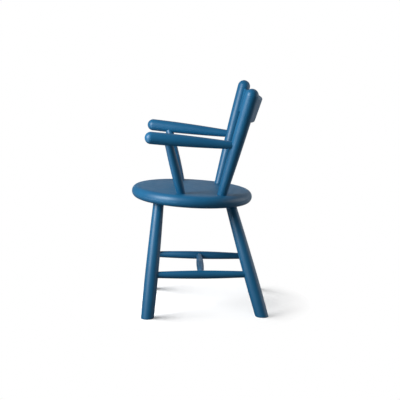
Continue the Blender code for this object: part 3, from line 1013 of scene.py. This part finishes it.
# %% [markdown]
# ## Light
#
# One tall softbox stands to the left of the camera, near the chair and a little above
# it. It draws the pale stripe down the left third of each stick. A white card on the
# right lifts the shaded sides, and a soft lamp straight behind lights the back, which
# the camera does not see. The white room fills the rest. The floor has a wide softbox of
# its own on the left, so that each foot throws a short soft shadow to the right, while
# the floor beyond stays white. Light linking keeps each lamp to what it is meant for.
#
# A satin surface mirrors the whole room faintly, which would lay a grey veil over the
# blue. So the chair stands in a dome that only reflections see: black cloth behind the
# camera, fading to light grey paper behind the chair, and darker on the left than on the
# right. The sticks keep a pale rim, where they mirror the paper, and the blue between
# stays deep.

# %% Set the lamps
WHITE = (1.0, 1.0, 1.0)
ROOM_STRENGTH = 0.20
KEY_TURN = math.radians(55.5)
KEY_DISTANCE = 1.00
KEY_MIDDLE = 0.88
KEY_WIDTH = 0.50
KEY_HEIGHT = 0.86
KEY_POWER = 23.0
KEY_COLOUR = (0.86, 0.95, 1.0)
CARD_TURN = math.radians(-95.0)
CARD_DISTANCE = 1.6
CARD_MIDDLE = 0.55
CARD_WIDTH = 1.4
CARD_HEIGHT = 1.0
CARD_POWER = 6.0
BACK_TURN = math.radians(180.0)
BACK_DISTANCE = 2.0
BACK_MIDDLE = 0.5
BACK_WIDTH = 1.6
BACK_HEIGHT = 1.0
BACK_POWER = 45.0
SHADOW_TURN = math.radians(92.0)
SHADOW_DISTANCE = 2.5
SHADOW_MIDDLE = 0.9
SHADOW_WIDTH = 4.5
SHADOW_HEIGHT = 1.4
SHADOW_POWER = 350.0
DOME_RADIUS = 8.0
DOME_BLACK_FROM = 3.6
DOME_GREY_FROM = -2.4
DOME_BLACK = 0.02
DOME_GREY = 0.42
DOME_SIDES = (-6.0, 6.0)
DOME_SIDE_TONES = (0.30, 1.40)


def upright_lamp(name, turn, distance, middle, width, height, power, colour):
    """An area lamp that stands upright and faces the chair, turned to the camera's left."""
    lamp = bpy.data.lights.new(name, "AREA")
    lamp.shape = "RECTANGLE"
    lamp.size = width
    lamp.size_y = height
    lamp.energy = power
    lamp.color = colour
    stand = bpy.data.objects.new(name, lamp)
    bpy.context.scene.collection.objects.link(stand)
    toward = Vector((math.cos(turn), -math.sin(turn), 0.0))
    stand.location = toward * distance + Vector((0.0, 0.0, middle))
    stand.rotation_euler = toward.to_track_quat("Z", "Y").to_euler()
    stand.visible_camera = False
    return stand


def light_only(lamp, name, lit):
    """Let a lamp light some objects alone, by light linking. All the others still shade it."""
    receivers = bpy.data.collections.new(name)
    for piece in lit:
        receivers.objects.link(piece)
    lamp.light_linking.receiver_collection = receivers


def studio_dome():
    """A dome round the chair, seen by reflections alone: black in front, grey behind."""
    clear_bench()
    bpy.ops.mesh.primitive_uv_sphere_add(radius=DOME_RADIUS, segments=32, ring_count=16)
    dome = bpy.context.object
    dome.name = "studio_dome"
    material = bpy.data.materials.new("dome_cloth")
    material.use_nodes = True
    tree = material.node_tree
    tree.nodes.clear()
    output = node_at(tree, "ShaderNodeOutputMaterial", 400, 0)
    cloth = node_at(tree, "ShaderNodeEmission", 200, 0)
    coordinates = node_at(tree, "ShaderNodeTexCoord", -600, 0)
    split = node_at(tree, "ShaderNodeSeparateXYZ", -400, 0)
    tree.links.new(coordinates.outputs["Object"], split.inputs[0])
    depth = (DOME_BLACK_FROM, DOME_GREY_FROM)
    tone = spread(tree, split.outputs["X"], depth, (DOME_BLACK, DOME_GREY), -200, 0)
    side = spread(tree, split.outputs["Y"], DOME_SIDES, DOME_SIDE_TONES, -200, -250)
    both = node_at(tree, "ShaderNodeMath", 0, 0, operation="MULTIPLY")
    tree.links.new(tone, both.inputs[0])
    tree.links.new(side, both.inputs[1])
    tree.links.new(both.outputs[0], cloth.inputs["Strength"])
    tree.links.new(cloth.outputs[0], output.inputs["Surface"])
    dome.data.materials.append(material)
    dome.visible_camera = False
    dome.visible_diffuse = False
    dome.visible_transmission = False
    dome.visible_shadow = False
    return dome


def white_room():
    world = bpy.data.worlds.new("white_room")
    bpy.context.scene.world = world
    world.use_nodes = True
    tree = world.node_tree
    tree.nodes.clear()
    output = node_at(tree, "ShaderNodeOutputWorld", 600, 0)
    fill = node_at(tree, "ShaderNodeBackground", 0, 0)
    fill.inputs["Strength"].default_value = ROOM_STRENGTH
    seen = node_at(tree, "ShaderNodeBackground", 0, -150)
    seen.inputs["Strength"].default_value = 1.0
    for shader in (fill, seen):
        shader.inputs["Color"].default_value = (1.0, 1.0, 1.0, 1.0)
    rays = node_at(tree, "ShaderNodeLightPath", -600, 200)
    total = rays.outputs["Is Camera Ray"]
    for step, name in enumerate(("Is Glossy Ray", "Is Transmission Ray")):
        either = node_at(tree, "ShaderNodeMath", -400 + 200 * step, 200, operation="MAXIMUM")
        tree.links.new(total, either.inputs[0])
        tree.links.new(rays.outputs[name], either.inputs[1])
        total = either.outputs[0]
    mixed = node_at(tree, "ShaderNodeMixShader", 300, 0)
    tree.links.new(total, mixed.inputs[0])
    tree.links.new(fill.outputs[0], mixed.inputs[1])
    tree.links.new(seen.outputs[0], mixed.inputs[2])
    tree.links.new(mixed.outputs[0], output.inputs["Surface"])


white_room()
key = upright_lamp(
    "softbox",
    KEY_TURN,
    KEY_DISTANCE,
    KEY_MIDDLE,
    KEY_WIDTH,
    KEY_HEIGHT,
    KEY_POWER,
    KEY_COLOUR,
)
card = upright_lamp(
    "white_card",
    CARD_TURN,
    CARD_DISTANCE,
    CARD_MIDDLE,
    CARD_WIDTH,
    CARD_HEIGHT,
    CARD_POWER,
    WHITE,
)
back_lamp = upright_lamp(
    "back_lamp",
    BACK_TURN,
    BACK_DISTANCE,
    BACK_MIDDLE,
    BACK_WIDTH,
    BACK_HEIGHT,
    BACK_POWER,
    WHITE,
)
back_lamp.visible_glossy = False
floor_lamp = upright_lamp(
    "floor_softbox",
    SHADOW_TURN,
    SHADOW_DISTANCE,
    SHADOW_MIDDLE,
    SHADOW_WIDTH,
    SHADOW_HEIGHT,
    SHADOW_POWER,
    WHITE,
)
light_only(key, "lit_by_softbox", chair_pieces.values())
light_only(card, "lit_by_white_card", chair_pieces.values())
light_only(back_lamp, "lit_by_back_lamp", chair_pieces.values())
light_only(floor_lamp, "lit_by_floor_softbox", [floor])
studio_dome()
bpy.context.scene.view_settings.view_transform = "Standard"
print("softbox at", [round(value, 2) for value in key.location])
